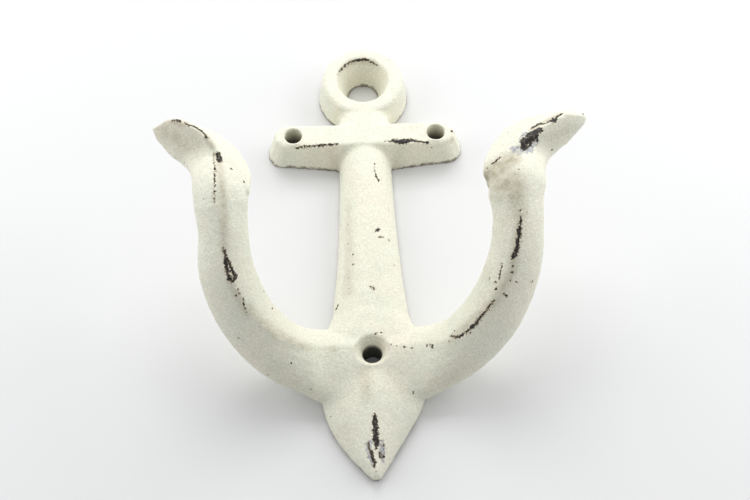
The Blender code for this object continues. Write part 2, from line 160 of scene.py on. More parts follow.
# Chips in the paint, as strokes seen from the front: (x, y, half width) of each point.
# Layers of noise break up their rims, and thin ones have gaps: (wavelength, height).
CHIP_DEPTH = 0.10
CHIP_WALL = (-0.08, 0.10)
CHIP_FINE_REACH = 0.55
CHIP_CUTS = 2
CHIP_RAGGED = ((1.6, 0.60), (0.9, 0.45), (0.4, 0.40))
CHIP_RAGGED_REACH = 1.5
CHIP_THIN = 0.25
CHIP_THIN_GAPS = (1.7, 2.2)
CHIP_FAR = 3.0
CHIPS = {
    "ring lip": (
        ((-6.9, 53.4, 0.11), (-5.9, 55.1, 0.15), (-4.5, 56.7, 0.18), (-2.8, 57.7, 0.25),
         (-0.8, 58.2, 0.35), (1.2, 58.2, 0.37), (2.6, 57.6, 0.18), (4.5, 56.3, 0.08)),
    ),
    "stock": (
        ((-18.6, 29.5, 0.14), (-16.6, 29.7, 0.25), (-14.4, 29.8, 0.22), (-11.7, 29.9, 0.25),
         (-9.2, 30.0, 0.16), (-7.6, 30.1, 0.08)),
        ((5.7, 30.5, 0.11), (6.9, 30.5, 0.22), (8.3, 30.6, 0.45), (9.6, 30.3, 0.65),
         (11.2, 30.3, 0.60), (12.9, 30.5, 0.41), (14.5, 30.2, 0.33), (16.1, 29.9, 0.27),
         (17.2, 29.8, 0.14)),
        ((18.2, 29.2, 0.16),),
        ((23.8, 33.1, 0.25),),
    ),
    "shank": (
        ((2.4, 24.0, 0.07), (2.5, 21.2, 0.11), (2.8, 19.7, 0.16), (3.4, 18.7, 0.16)),
        ((1.8, 2.7, 0.11), (2.4, 3.1, 0.24), (3.0, 3.7, 0.13)),
        ((2.9, 0.9, 0.11), (3.9, 1.2, 0.11)),
        ((5.5, 0.8, 0.17),),
        ((-3.2, 2.3, 0.16),),
        ((-4.1, -3.6, 0.14),),
        ((-4.1, -6.8, 0.14),),
        ((-8.3, -3.4, 0.19),),
        ((-8.6, -7.9, 0.21),),
        ((-8.9, -18.1, 0.28), (-8.4, -17.4, 0.18)),
        ((0.0, -13.8, 0.10), (0.9, -14.6, 0.23)),
    ),
    "crown": (
        ((14.9, -33.1, 0.25), (15.1, -33.6, 0.22)),
        ((14.5, -32.7, 0.15),),
        ((13.7, -32.6, 0.13),),
        ((10.0, -32.8, 0.15),),
        ((8.0, -32.4, 0.20),),
        ((6.1, -31.9, 0.15),),
        ((4.8, -31.4, 0.14),),
        ((1.0, -27.9, 0.18),),
        ((2.4, -27.8, 0.13),),
        ((9.9, -43.0, 0.20),),
        ((-10.9, -47.5, 0.18),),
    ),
    "point": (
        ((0.2, -48.3, 0.12), (0.1, -49.5, 0.37), (0.1, -51.4, 0.57), (0.2, -53.3, 0.69),
         (0.2, -55.0, 0.76), (0.3, -56.2, 0.54), (0.2, -57.1, 0.20)),
        ((-1.6, -55.8, 0.12), (-1.5, -57.4, 0.22), (-0.9, -58.2, 0.25), (-0.8, -59.2, 0.29),
         (-0.4, -60.3, 0.32), (-0.4, -61.3, 0.22)),
        ((1.8, -55.3, 0.10), (2.1, -56.7, 0.12)),
        ((1.1, -58.0, 0.26), (1.1, -59.2, 0.33), (1.9, -58.9, 0.22)),
    ),
    "left arm": (
        ((-34.8, -18.6, 0.17), (-34.5, -19.4, 0.24), (-34.2, -20.4, 0.34), (-34.3, -21.7, 0.36),
         (-34.1, -23.0, 0.36), (-33.6, -24.3, 0.48), (-33.0, -24.6, 0.38)),
        ((-34.2, -20.1, 0.24), (-33.5, -21.3, 0.28), (-32.9, -22.7, 0.33), (-32.3, -23.7, 0.42),
         (-32.7, -24.5, 0.38)),
        ((-31.8, -25.8, 0.07), (-31.7, -26.7, 0.17)),
        ((-30.7, -27.3, 0.10), (-30.6, -29.2, 0.14)),
        ((-40.6, -26.6, 0.20), (-40.0, -28.0, 0.32), (-39.2, -29.4, 0.22)),
        ((-32.6, -33.3, 0.19),),
        ((-33.4, -33.7, 0.17),),
        ((-32.3, -27.0, 0.14),),
        ((-30.0, -29.7, 0.14),),
        ((-26.1, -23.4, 0.15),),
        ((-24.2, -26.1, 0.20),),
        ((-20.2, -37.2, 0.22),),
    ),
    "right arm": (
        ((36.1, -13.2, 0.12),),
        ((36.1, -14.3, 0.14), (35.9, -16.0, 0.36), (35.5, -18.5, 0.40), (35.0, -20.7, 0.43),
         (34.2, -22.1, 0.48)),
        ((34.0, -23.6, 0.18),),
        ((33.9, -24.7, 0.20),),
        ((33.5, -26.1, 0.16),),
        ((35.1, -26.1, 0.16),),
        ((39.0, -25.1, 0.20),),
        ((28.8, -24.0, 0.15),),
        ((30.0, -25.5, 0.18),),
        ((30.2, -26.9, 0.23),),
        ((31.6, -22.4, 0.07), (31.4, -23.5, 0.13), (30.9, -25.2, 0.14)),
        ((32.0, -28.2, 0.17), (32.7, -28.5, 0.19)),
        ((29.7, -28.9, 0.13), (28.7, -29.6, 0.16), (27.8, -30.4, 0.22), (26.6, -31.2, 0.29),
         (25.2, -32.2, 0.44), (24.0, -32.8, 0.39), (22.7, -33.3, 0.29), (21.4, -33.7, 0.26),
         (20.1, -33.1, 0.22), (19.5, -32.7, 0.17)),
        ((20.4, -31.9, 0.15),),
        ((24.1, -33.6, 0.18),),
        ((19.0, -33.7, 0.14),),
    ),
    "left fluke": (
        ((-47.0, 13.4, 0.14), (-46.0, 13.2, 0.24), (-45.0, 12.5, 0.29)),
        ((-43.6, 11.9, 0.22), (-42.5, 11.3, 0.42), (-41.4, 11.1, 0.60), (-40.4, 10.4, 0.58),
         (-39.3, 9.1, 0.50), (-38.4, 7.4, 0.28)),
        ((-35.7, 3.6, 0.40), (-35.4, 2.4, 0.60), (-35.4, 1.4, 0.46)),
        ((-36.8, 3.7, 0.08), (-36.5, 0.3, 0.13), (-36.3, -1.2, 0.18), (-36.3, -4.5, 0.13),
         (-36.3, -7.3, 0.16), (-36.4, -9.7, 0.13)),
        ((-52.3, 14.0, 0.25),),
        ((-44.5, 4.8, 0.16),),
        ((-32.6, -0.1, 0.18),),
        ((-29.7, -2.7, 0.18),),
        ((-35.9, -2.0, 0.18),),
    ),
    "right fluke": (
        ((41.6, 7.0, 0.80), (39.8, 5.6, 1.75), (38.5, 3.9, 1.45), (38.0, 2.4, 0.60)),
        ((40.7, 8.6, 0.42), (41.9, 9.4, 0.50), (43.2, 8.6, 0.42), (44.7, 9.1, 0.52),
         (45.7, 9.6, 0.66), (46.6, 10.7, 0.46), (47.9, 11.7, 0.30)),
        ((45.3, 4.4, 0.28),),
        ((53.3, 12.3, 0.15),),
        ((36.1, -4.0, 0.16),),
        ((29.0, -0.8, 0.14),),
        ((30.4, 0.1, 0.24), (31.3, 0.6, 0.19), (32.2, 1.4, 0.12)),
    ),
}
# Paint rubbed thin and blue-grey: strokes of (x, y, radius)
SMEARS = (
    ((-1.6, -55.8, 1.5), (-1.5, -58.6, 1.4), (-0.7, -61.0, 0.9)),
    ((1.6, -55.6, 1.4), (1.7, -59.4, 1.5)),
    ((35.4, 2.8, 1.5), (37.2, 1.7, 2.1), (39.2, 1.9, 1.9), (40.9, 4.4, 1.6)),
    ((37.0, 4.6, 1.3), (38.6, 7.0, 1.5)),
)
# Tan stains, and tan painted shade where marked below, soft at their rims: strokes of (x, y,
# radius, strength)
STAINS_AND_SHADE = (
    # These two: partly tan stain, partly painted shade where the right palm meets its arm
    ((29.0, -3.0, 5.5, 1.05), (32.2, -1.8, 6.0, 1.05), (34.6, -0.6, 4.5, 0.95)),
    ((31.5, -6.5, 5.5, 0.90), (34.4, -7.0, 5.5, 0.85), (36.0, -14.0, 3.2, 0.50)),
    ((40.5, 8.0, 1.8, 0.85), (44.5, 10.2, 1.8, 0.85), (47.5, 12.2, 1.5, 0.80)),
    # Painted shade down the shank's left flank
    ((-4.9, 12.0, 2.2, 0.20), (-5.2, 0.0, 2.4, 0.35), (-5.8, -15.0, 2.6, 0.40)),
    ((-29.5, -28.5, 1.8, 0.45), (-24.0, -32.2, 2.6, 0.60), (-18.0, -33.0, 2.4, 0.55),
     (-9.5, -32.2, 1.8, 0.50)),
    # These two: painted shade in the step just right of the left arm's ridge
    ((-35.4, 1.0, 2.0, 0.60), (-34.6, -6.0, 2.0, 0.65), (-34.2, -12.0, 2.0, 0.60),
     (-34.5, -19.0, 1.8, 0.45)),
    ((-33.5, -25.0, 1.8, 0.50), (-30.0, -30.0, 1.8, 0.45)),
    ((36.0, -14.0, 1.5, 0.50), (34.0, -24.0, 2.2, 0.60), (29.0, -29.5, 2.2, 0.65),
     (20.0, -33.0, 2.0, 0.60)),
    ((-36.6, 3.0, 1.1, 0.50), (-36.5, -9.0, 1.1, 0.40)),
    # These two: partly tan stain, partly painted shade on the flukes' outer faces, which face away
    # from the light
    ((-42.0, 7.0, 7.0, 0.50), (-49.0, 12.0, 5.0, 0.60)),
    ((44.5, 5.5, 5.0, 0.25), (50.0, 10.0, 4.0, 0.30)),
    # These two: painted shade low on the arms' roots
    ((-24.0, -39.0, 6.0, 0.18), (-15.0, -42.5, 5.0, 0.26)),
    ((24.0, -39.0, 6.0, 0.18), (15.0, -42.5, 5.0, 0.26)),
    ((-47.5, 13.3, 1.6, 0.60), (-42.0, 11.3, 1.9, 0.85), (-39.0, 8.8, 2.0, 0.85),
     (-37.0, 5.5, 1.8, 0.65)),
    # These two: painted shade in the crease under the stock, beside the shank
    ((-8.0, 27.0, 3.4, 0.40), (-9.5, 29.0, 2.4, 0.20)),
    ((8.5, 27.0, 3.4, 0.40), (10.0, 29.0, 2.4, 0.20)),
    ((23.9, 30.9, 1.5, 0.50),),
    ((-6.2, 54.8, 1.6, 0.45), (-3.2, 57.6, 1.9, 0.70), (0.0, 58.3, 2.0, 0.75),
     (3.2, 57.4, 1.8, 0.60)),
    ((-2.0, -38.5, 3.2, 0.40), (-1.6, -45.0, 2.8, 0.36)),
    ((-7.0, -52.0, 5.0, 0.20),),
    ((28.0, -22.0, 4.0, 0.20),),
)


# --- The frame's nodes -----------------------------------------------------

def read(collection, key, width, kind=float):
    """An array of one property of everything in a mesh's collection."""
    out = np.empty(len(collection) * width, kind)
    collection.foreach_get(key, out)
    return out.reshape(-1, width) if width > 1 else out


def node_points(name):
    return read(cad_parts[name].data.vertices, "co", 3) / MM


def node_triangles(name):
    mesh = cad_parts[name].data
    mesh.calc_loop_triangles()
    return read(mesh.loop_triangles, "vertices", 3, int)


def seam_across(upper, lower, way):
    """The plane midway through the gap between two nodes, as (point, normal).

    way points along one axis, from the lower node to the upper one.
    """
    normal = np.array(way)
    middle = ((node_points(upper) @ normal).min() + (node_points(lower) @ normal).max()) / 2
    return normal * middle, normal


def seam_of_fluke(side):
    """The slanted plane between an arm and its fluke."""
    arm, fluke = node_points(f"arm_{side}"), node_points(f"fluke_{side}")
    gap = np.sqrt(((arm[:, None] - fluke[None]) ** 2).sum(2).min(1))
    cap = arm[gap < OVERLAP]
    centre = cap.mean(0)
    normal = np.linalg.svd(cap - centre)[2][2]
    if normal @ (fluke.mean(0) - centre) < 0:
        normal = -normal
    away = ((fluke - centre) @ normal).min()
    return centre + normal * away / 2, normal


UP = (0.0, 1.0, 0.0)
RIGHT = (1.0, 0.0, 0.0)
LEFT = (-1.0, 0.0, 0.0)
SEAMS = {
    "ring": seam_across("ring", "stock", UP),
    "shank": seam_across("stock", "shank", UP),
    "crown": seam_across("shank", "crown", UP),
    "crown_point": seam_across("crown", "crown_point", UP),
    "arm_right": seam_across("arm_right", "crown", RIGHT),
    "arm_left": seam_across("arm_left", "crown", LEFT),
    "fluke_right": seam_of_fluke("right"),
    "fluke_left": seam_of_fluke("left"),
}
# Which node reaches across each seam, and to which side of it
REACH = {
    "ring": ("ring", -1),
    "shank": ("shank", 1),
    "crown": ("shank", -1),
    "crown_point": ("crown_point", 1),
    "arm_right": ("arm_right", -1),
    "arm_left": ("arm_left", -1),
    "fluke_right": ("fluke_right", -1),
    "fluke_left": ("fluke_left", -1),
}


def joined_mesh():
    """All the nodes in one mesh, each reaching a little way over its seam."""
    points = {name: node_points(name) for name in NODES}
    for seam, (name, way) in REACH.items():
        centre, normal = SEAMS[seam]
        near = np.abs((points[name] - centre) @ normal) < CAP_REACH
        points[name][near] += normal * way * OVERLAP
    verts, faces, start = [], [], 0
    for name in NODES:
        verts.append(points[name])
        faces.append(node_triangles(name) + start)
        start += len(points[name])
    mesh = bpy.data.meshes.new("skin")
    mesh.from_pydata(np.vstack(verts).tolist(), [], np.vstack(faces).tolist())
    return mesh


def remeshed(mesh):
    """One closed skin of even quads round everything in the mesh."""
    thing = bpy.data.objects.new("skin", mesh)
    bpy.context.scene.collection.objects.link(thing)
    modifier = thing.modifiers.new("skin", "REMESH")
    modifier.mode = "VOXEL"
    modifier.voxel_size = VOXEL
    modifier.adaptivity = 0.0
    depsgraph = bpy.context.evaluated_depsgraph_get()
    skin = bpy.data.meshes.new_from_object(thing.evaluated_get(depsgraph))
    bpy.data.objects.remove(thing)
    bpy.data.meshes.remove(mesh)
    return skin


# --- Shape of the skin -----------------------------------------------------

def degrees(a, b, count):
    """How many edges, from a to b, each vertex has."""
    return np.bincount(a, minlength=count) + np.bincount(b, minlength=count)


class Skin:
    """Vertex positions of the skin, with the sums over neighbours that smoothing needs."""

    def __init__(self, mesh):
        self.mesh = mesh
        self.co = read(mesh.vertices, "co", 3)
        self.a, self.b = read(mesh.edges, "vertices", 2, int).T
        self.degree = degrees(self.a, self.b, len(self.co))

    def around(self, values):
        """Mean of a value over each vertex's neighbours."""
        flat = values.reshape(len(values), -1)
        total = np.empty_like(flat)
        for k in range(flat.shape[1]):
            total[:, k] = np.bincount(self.a, flat[self.b, k], len(flat))
            total[:, k] += np.bincount(self.b, flat[self.a, k], len(flat))
        return (total / self.degree[:, None]).reshape(values.shape)

    def blurred(self, values, passes):
        for _ in range(passes):
            values = (values + self.around(values)) / 2
        return values

    def normals(self):
        self.mesh.vertices.foreach_set("co", self.co.ravel())
        self.mesh.update()
        return read(self.mesh.vertex_normals, "vector", 3, np.float32).astype(float)

    def fair(self, passes, share=1.0):
        """Take out the voxels' own steps without shrinking anything."""
        free = self.free() * np.reshape(share, (-1, 1))
        for _ in range(passes):
            for step in FAIR_STEPS:
                self.co += (self.around(self.co) - self.co) * step * free

    def too_tight(self, normals, fillet_r, edge_r):
        """Each vertex's step to the middle of its neighbours, and whether it bends too tightly.

        On a sphere of radius r the step is about spread / r long.
        """
        spread = VOXEL ** 2 / 4
        step = self.around(self.co) - self.co
        out = (step * normals).sum(1)
        return step, (out > spread / fillet_r) | (out < -spread / edge_r)

    def round_off(self, passes, fillet_r, edge_r):
        """Open every hollow to at least one radius and every edge to at least another."""
        free = self.free()
        for k in range(passes):
            if k % NORMALS_EVERY == 0:
                normals = self.normals()
            step, tight = self.too_tight(normals, fillet_r, edge_r)
            self.co += step * (STRIDE * tight)[:, None] * free
        self.co[:, 2] = np.maximum(self.co[:, 2], 0.0)

    def free(self):
        """How far each vertex may move on each axis: those of the back stay on it."""
        free = np.ones_like(self.co)
        free[:, 2] = np.clip(self.co[:, 2] / BACK_KEEP, 0.0, 1.0)
        return free

    def melt(self, place):
        """Round off one place much further than the rest, its rim held still."""
        centre, reach, fillet_r, edge_r = place
        index = np.flatnonzero(np.linalg.norm(self.co - centre, axis=1) < reach)
        where = np.full(len(self.co), -1)
        where[index] = np.arange(len(index))
        a, b = where[self.a], where[self.b]
        both = (a >= 0) & (b >= 0)
        part = copy(self)
        part.a, part.b, part.co = a[both], b[both], self.co[index]
        part.degree = degrees(part.a, part.b, len(index))
        away = np.linalg.norm(part.co - centre, axis=1) / reach
        free = smooth_step(-away, -1.0, MELT_RIM) * (part.degree == self.degree[index])
        free *= clear_of_seat(part.co) * smooth_step(part.co[:, 2], *MELT_FOOT)
        for k in range(MELT_PASSES):
            if k % MELT_NORMALS_EVERY == 0:
                self.co[index] = part.co
                normals = self.normals()[index]
            step, tight = part.too_tight(normals, fillet_r, edge_r)
            part.co += step * (STRIDE * tight * free)[:, None]
        self.co[index] = part.co


def smooth_step(value, low, high):
    """0 below low, 1 above high, and an S between them."""
    t = np.clip((value - low) / (high - low), 0.0, 1.0)
    return t * t * (3.0 - 2.0 * t)


def clear_of_seat(points):
    """0 at the crown's screw seat and 1 away from it."""
    away = np.hypot(points[:, 0], points[:, 1] - SCREW_Y)
    return smooth_step(away, SEAT_REACH, SEAT_REACH + SEAT_BLEND)


def softness(points):
    """1 where the casting is smooth all over, 0 where its edges are crisp."""
    y, z = points[:, 1], points[:, 2]
    head = smooth_step(y, *HEAD_Y) * (1.0 - smooth_step(z, *HEAD_Z))
    palm = smooth_step(y, *PALM_Y) * smooth_step(z, *PALM_Z)
    return (1.0 - head) * (1.0 - PALM_SHARE * palm) * clear_of_seat(points)


def radii(points):
    """The least radius of hollows and of edges at each point."""
    fillet, edge = np.full(len(points), FILLET_R), np.full(len(points), EDGE_R)
    for x, y, reach, _, _ in BORES:
        fillet[np.hypot(points[:, 0] - x, points[:, 1] - y) < reach] = BORE_FILLET_R
    for centre, reach, hollow_r, edge_r in PLACES:
        away = np.linalg.norm(points - centre, axis=1) / reach
        share = smooth_step(-away, -1.0, PLACE_BLEND - 1.0) * clear_of_seat(points)
        fillet = np.maximum(fillet, FILLET_R + (hollow_r - FILLET_R) * share)
        edge = np.maximum(edge, EDGE_R + (edge_r - EDGE_R) * share)
    return fillet, edge


def rough(points, layers):
    """Layers of smooth noise, each a (wavelength, height)."""
    out = np.zeros(len(points))
    for wavelength, height in layers:
        out += height * np.array([noise.noise(p) for p in (points / wavelength).tolist()])
    return out


def bored(points):
    """The points with the screw holes opened again, most of all at the lower one's mouth."""
    out = points.copy()
    for x, y, reach, mouth, _ in BORES:
        away = np.hypot(points[:, 0] - x, points[:, 1] - y)
        flare = BORE_FLARE if x == 0.0 else 0.0
        push = BORE_OPEN + flare * smooth_step(points[:, 2], mouth - BORE_FLARE_DEPTH, mouth)
        push *= 1.0 - smooth_step(away, reach - BORE_BLEND[0], reach + BORE_BLEND[1])
        push /= np.maximum(away, 1.0)
        out[:, 0] += (points[:, 0] - x) * push
        out[:, 1] += (points[:, 1] - y) * push
    return out


def within_box(points):
    low, high = (np.array(corner) / MM for corner in cad_box)
    return np.clip(points, low, high)


def cast_skin():
    """The whole casting, smoothed, with its lumps."""
    skin = Skin(remeshed(joined_mesh()))
    skin.fair(FAIR_PASSES)
    skin.round_off(ROUNDING_PASSES, *radii(skin.co))
    for place in MELTS:
        skin.melt(place)
    skin.fair(SOFT_FAIR_PASSES, softness(skin.co))
    skin.fair(FAIR_PASSES)
    skin.co = bored(skin.co + skin.normals() * rough(skin.co, LUMPS)[:, None])
    skin.co = within_box(skin.co)
    skin.normals()
    return skin


# --- Wear ------------------------------------------------------------------

def tree_of(mesh):
    return BVHTree.FromPolygons([v.co for v in mesh.vertices], [p.vertices for p in mesh.polygons])


def dropped(tree, x, y):
    """The point of the surface seen from the front at (x, y)."""
    high = cad_box[1][2] / MM + 1.0
    hit = tree.ray_cast(Vector((x, y, high)), Vector((0.0, 0.0, -1.0)))[0]
    return np.array(hit) if hit is not None else None


def chip_lines(tree):
    """Each stroke's points on the surface, as (points, half widths)."""
    lines = []
    for strokes in CHIPS.values():
        for stroke in strokes:
            found = [(dropped(tree, x, y), half) for x, y, half in stroke]
            found = [(point, half) for point, half in found if point is not None]
            if found:
                lines.append((np.array([p for p, _ in found]), np.array([h for _, h in found])))
    return lines


def chip_distance(points, lines):
    """How far each point is from a chip's rim, below zero inside it, and that chip's half width."""
    best, width = np.full(len(points), CHIP_FAR), np.zeros(len(points))
    for line, halves in lines:
        reach = CHIP_FAR + halves.max()
        inside = ((points > line.min(0) - reach) & (points < line.max(0) + reach)).all(1)
        near = np.flatnonzero(inside)
        at = points[near]
        if len(line) == 1:
            line, halves = np.repeat(line, 2, 0), np.repeat(halves, 2)
        for start, end, start_half, end_half in zip(line, line[1:], halves, halves[1:]):
            run = end - start
            t = np.clip((at - start) @ run / max(run @ run, 1e-9), 0.0, 1.0)
            half = start_half + (end_half - start_half) * t
            away = np.linalg.norm(at - start - t[:, None] * run, axis=1) - half
            closer = away < best[near]
            best[near[closer]] = away[closer]
            width[near[closer]] = half[closer]
    return best, width


def ragged(points, away, width):
    """The distance to a chip, with its rim broken up."""
    near = np.flatnonzero(away < CHIP_RAGGED_REACH)
    out = away.copy()
    out[near] += width[near] * rough(points[near], CHIP_RAGGED)
    thin = width[near] * smooth_step(-width[near], -CHIP_THIN, -CHIP_THIN / 2)
    out[near] += np.maximum(thin * rough(points[near], (CHIP_THIN_GAPS,)), 0.0)
    return out


def refined(mesh, near):
    """The mesh in triangles, finer where near says so."""
    ends = read(mesh.edges, "vertices", 2, int)
    chosen = np.flatnonzero(near[ends].all(1))
    bm = bmesh.new()
    bm.from_mesh(mesh)
    bm.edges.ensure_lookup_table()
    edges = [bm.edges[i] for i in chosen]
    bmesh.ops.subdivide_edges(bm, edges=edges, cuts=CHIP_CUTS, use_grid_fill=True)
    bmesh.ops.triangulate(bm, faces=bm.faces)
    bm.to_mesh(mesh)
    bm.free()
    return mesh


def soft_strokes(points, tree, strokes):
    """Along the middle of each stroke its strength, fading to 0 at its radius."""
    out = np.zeros(len(points))
    for stroke in strokes:
        found = [(dropped(tree, x, y), np.array(rest)) for x, y, *rest in stroke]
        found = [(middle, rest) for middle, rest in found if middle is not None]
        for (start, start_rest), (end, end_rest) in zip(found, found[1:] or found):
            run = end - start
            t = np.clip((points - start) @ run / max(run @ run, 1e-9), 0.0, 1.0)
            radius, strength = start_rest[:, None] + (end_rest - start_rest)[:, None] * t
            away = np.linalg.norm(points - start - t[:, None] * run, axis=1) / radius
            out = np.maximum(out, strength * smooth_step(-away, -1.0, 0.0))
    return out


def shade_in_bores(points):
    """How much painted shade: 0 at the mouth of each screw hole, rising to 1 down inside it."""
    out = np.zeros(len(points))
    for x, y, radius, mouth, depth in BORES:
        inside = np.hypot(points[:, 0] - x, points[:, 1] - y) < radius
        out = np.maximum(out, inside * smooth_step(-points[:, 2], -mouth, depth - mouth))
    return out


def worn_skin():
    """The casting with its chips cut in, and the maps that its paint is mixed by."""
    plain = cast_skin()
    tree = tree_of(plain.mesh)
    lines = chip_lines(tree)
    away, _ = chip_distance(plain.co, lines)
    skin = Skin(refined(plain.mesh, away < CHIP_FINE_REACH))
    normals = skin.normals()
    away = ragged(skin.co, *chip_distance(skin.co, lines))
    bend = ((skin.blurred(skin.co, BEND_PASSES) - skin.co) * normals).sum(1)
    smears = [[(*spot, 1.0) for spot in stroke] for stroke in SMEARS]
    maps = {
        "chip": away,
        "smear": soft_strokes(skin.co, tree, smears),
        "stain_and_shade": soft_strokes(skin.co, tree, STAINS_AND_SHADE),
        "bore_shade": shade_in_bores(skin.co),
        "hollow": np.maximum(skin.blurred(bend, BEND_BLUR), 0.0),
        "ridge": np.maximum(skin.blurred(-bend, BEND_BLUR), 0.0),
    }
    skin.co -= normals * (CHIP_DEPTH * smooth_step(-away, *CHIP_WALL))[:, None]
    skin.co = within_box(skin.co)
    return skin, maps


skin, maps = worn_skin()
shade = skin.normals()
triangles = read(skin.mesh.loops, "vertex_index", 1, int).reshape(-1, 3)


# --- Pieces ----------------------------------------------------------------

# The seams that bound each node's piece, and the side of each that it keeps
CUTS = {
    "ring": (("ring", 1),),
    "stock": (("ring", -1), ("shank", 1)),
    "shank": (("shank", -1), ("arm_right", -1), ("arm_left", -1), ("crown", 1)),
    "crown": (("arm_right", -1), ("arm_left", -1), ("crown", -1), ("crown_point", 1)),
    "crown_point": (("arm_right", -1), ("arm_left", -1), ("crown_point", -1)),
    "arm_right": (("arm_right", 1), ("shank", -1), ("fluke_right", -1)),
    "arm_left": (("arm_left", 1), ("shank", -1), ("fluke_left", -1)),
    "fluke_right": (("arm_right", 1), ("shank", -1), ("fluke_right", 1)),
    "fluke_left": (("arm_left", 1), ("shank", -1), ("fluke_left", 1)),
}
# The cuts of these two cross inside the casting, so each starts from more of the skin
SHARES = {"crown": (("crown", -1),), "crown_point": (("crown", -1),)}


def cut(bm, seam, keep):
    """Keep the part of bm on one side of a seam, and close the cut."""
    centre, normal = SEAMS[seam]
    found = bmesh.ops.bisect_plane(
        bm,
        geom=[*bm.verts, *bm.edges, *bm.faces],
        plane_co=Vector(centre),
        plane_no=Vector(normal),
        clear_inner=keep > 0,
        clear_outer=keep < 0,
    )
    rim = [e for e in found["geom_cut"] if isinstance(e, bmesh.types.BMEdge)]
    cap = bm.faces.layers.int["cap"]
    made = bmesh.ops.triangle_fill(bm, edges=rim, use_beauty=True, normal=Vector(normal) * -keep)
    for face in made["geom"]:
        if isinstance(face, bmesh.types.BMFace):
            face[cap] = 1


def share_of_skin(name, cuts):
    """The skin's triangles that reach the kept side of each of these cuts."""
    keep = np.ones(len(triangles), bool)
    for seam, side in cuts:
        centre, normal = SEAMS[seam]
        keep &= (((skin.co - centre) @ normal * side) > 0.0)[triangles].any(1)
    used, index = np.unique(triangles[keep], return_inverse=True)
    mesh = bpy.data.meshes.new(name)
    mesh.from_pydata(skin.co[used].tolist(), [], index.reshape(-1, 3).tolist())
    for key, values in maps.items():
        layer = mesh.attributes.new(key, "FLOAT", "POINT")
        layer.data.foreach_set("value", values[used].astype(np.float32))
    layer = mesh.attributes.new("shade", "FLOAT_VECTOR", "POINT")
    layer.data.foreach_set("vector", shade[used].astype(np.float32).ravel())
    return mesh


def piece_mesh(name):
    """One piece of the casting, closed at its seams."""
    mesh = share_of_skin(f"cast_{name}", SHARES.get(name, CUTS[name]))
    bm = bmesh.new()
    bm.from_mesh(mesh)
    bm.faces.layers.int.new("cap")
    for seam, keep in CUTS[name]:
        cut(bm, seam, keep)
    bmesh.ops.recalc_face_normals(bm, faces=bm.faces)
    bmesh.ops.scale(bm, vec=(MM, MM, MM), verts=bm.verts)
    bm.to_mesh(mesh)
    bm.free()
    return mesh


def shade_as_one(mesh):
    """Give a piece the whole skin's normals, and its caps their own."""
    vectors = read(mesh.attributes["shade"].data, "vector", 3, np.float32)
    vectors /= np.linalg.norm(vectors, axis=1, keepdims=True)
    custom = vectors[read(mesh.loops, "vertex_index", 1, int)].astype(float)
    for index in np.flatnonzero(read(mesh.attributes["cap"].data, "value", 1, np.int32)):
        face = mesh.polygons[index]
        custom[face.loop_start:face.loop_start + face.loop_total] = face.normal
    mesh.shade_smooth()
    mesh.normals_split_custom_set(custom.tolist())
    mesh.attributes.remove(mesh.attributes["cap"])
    mesh.attributes.remove(mesh.attributes["shade"])


# --- Paint -----------------------------------------------------------------

MIX_FACTOR, MIX_A, MIX_B, MIX_RESULT = 0, 6, 7, 2  # the colour sockets of a Mix node


class Shader:
    """A material's node tree, built by short calls that each return a socket."""

    def __init__(self, name):
        self.material = bpy.data.materials.new(name)
        self.material.use_nodes = True
        self.nodes = self.material.node_tree.nodes
        self.links = self.material.node_tree.links
        self.out = self.nodes["Principled BSDF"]
        where = self.node("ShaderNodeTexCoord").outputs["Object"]
        scale = self.node("ShaderNodeVectorMath", operation="SCALE")
        scale.inputs["Scale"].default_value = 1.0 / MM
        self.links.new(where, scale.inputs[0])
        self.place = scale.outputs[0]

    def node(self, kind, **settings):
        node = self.nodes.new(kind)
        for key, value in settings.items():
            setattr(node, key, value)
        return node

    def put(self, socket, value):
        """Link a socket, or set a value on it."""
        if isinstance(value, bpy.types.NodeSocket):
            self.links.new(value, socket)
        else:
            socket.default_value = value

    def map(self, name):
        node = self.node("ShaderNodeAttribute", attribute_name=name)
        return node.outputs["Fac"]

    def noise(self, wavelength, detail=2.0):
        """Noise from 0 to 1 with its coarsest layer at a wavelength in millimetres."""
        node = self.node("ShaderNodeTexNoise")
        self.links.new(self.place, node.inputs["Vector"])
        node.inputs["Scale"].default_value = 1.0 / wavelength
        node.inputs["Detail"].default_value = detail
        return node.outputs["Fac"]

    def maths(self, operation, a, b):
        node = self.node("ShaderNodeMath", operation=operation)
        self.put(node.inputs[0], a)
        self.put(node.inputs[1], b)
        return node.outputs[0]

    def step(self, value, low, high, start=0.0, end=1.0):
        """A smooth step from start at low to end at high."""
        node = self.node("ShaderNodeMapRange", interpolation_type="SMOOTHSTEP")
        self.put(node.inputs["Value"], value)
        node.inputs["From Min"].default_value = low
        node.inputs["From Max"].default_value = high
        node.inputs["To Min"].default_value = start
        node.inputs["To Max"].default_value = end
        return node.outputs["Result"]

    def mix(self, share, a, b, blend="MIX"):
        node = self.node("ShaderNodeMix", data_type="RGBA", blend_type=blend)
        self.put(node.inputs[MIX_FACTOR], share)
        self.put(node.inputs[MIX_A], a)
        self.put(node.inputs[MIX_B], b)
        return node.outputs[MIX_RESULT]


CREAM = (0.825, 0.812, 0.680, 1.0)
CREAM_GREEN = (0.806, 0.812, 0.680, 1.0)
CREAM_WARM = (0.842, 0.806, 0.668, 1.0)
TAN = (0.45, 0.405, 0.285, 1.0)
DARK_BROWN = (0.20, 0.165, 0.115, 1.0)
HALO = (0.40, 0.315, 0.195, 1.0)
RUBBED = (0.36, 0.365, 0.41, 1.0)
# Painted shade for down inside the screw holes
BORE_SHADE = (0.045, 0.048, 0.040, 1.0)
IRON = (0.012, 0.011, 0.010, 1.0)
RUST = (0.125, 0.098, 0.070, 1.0)

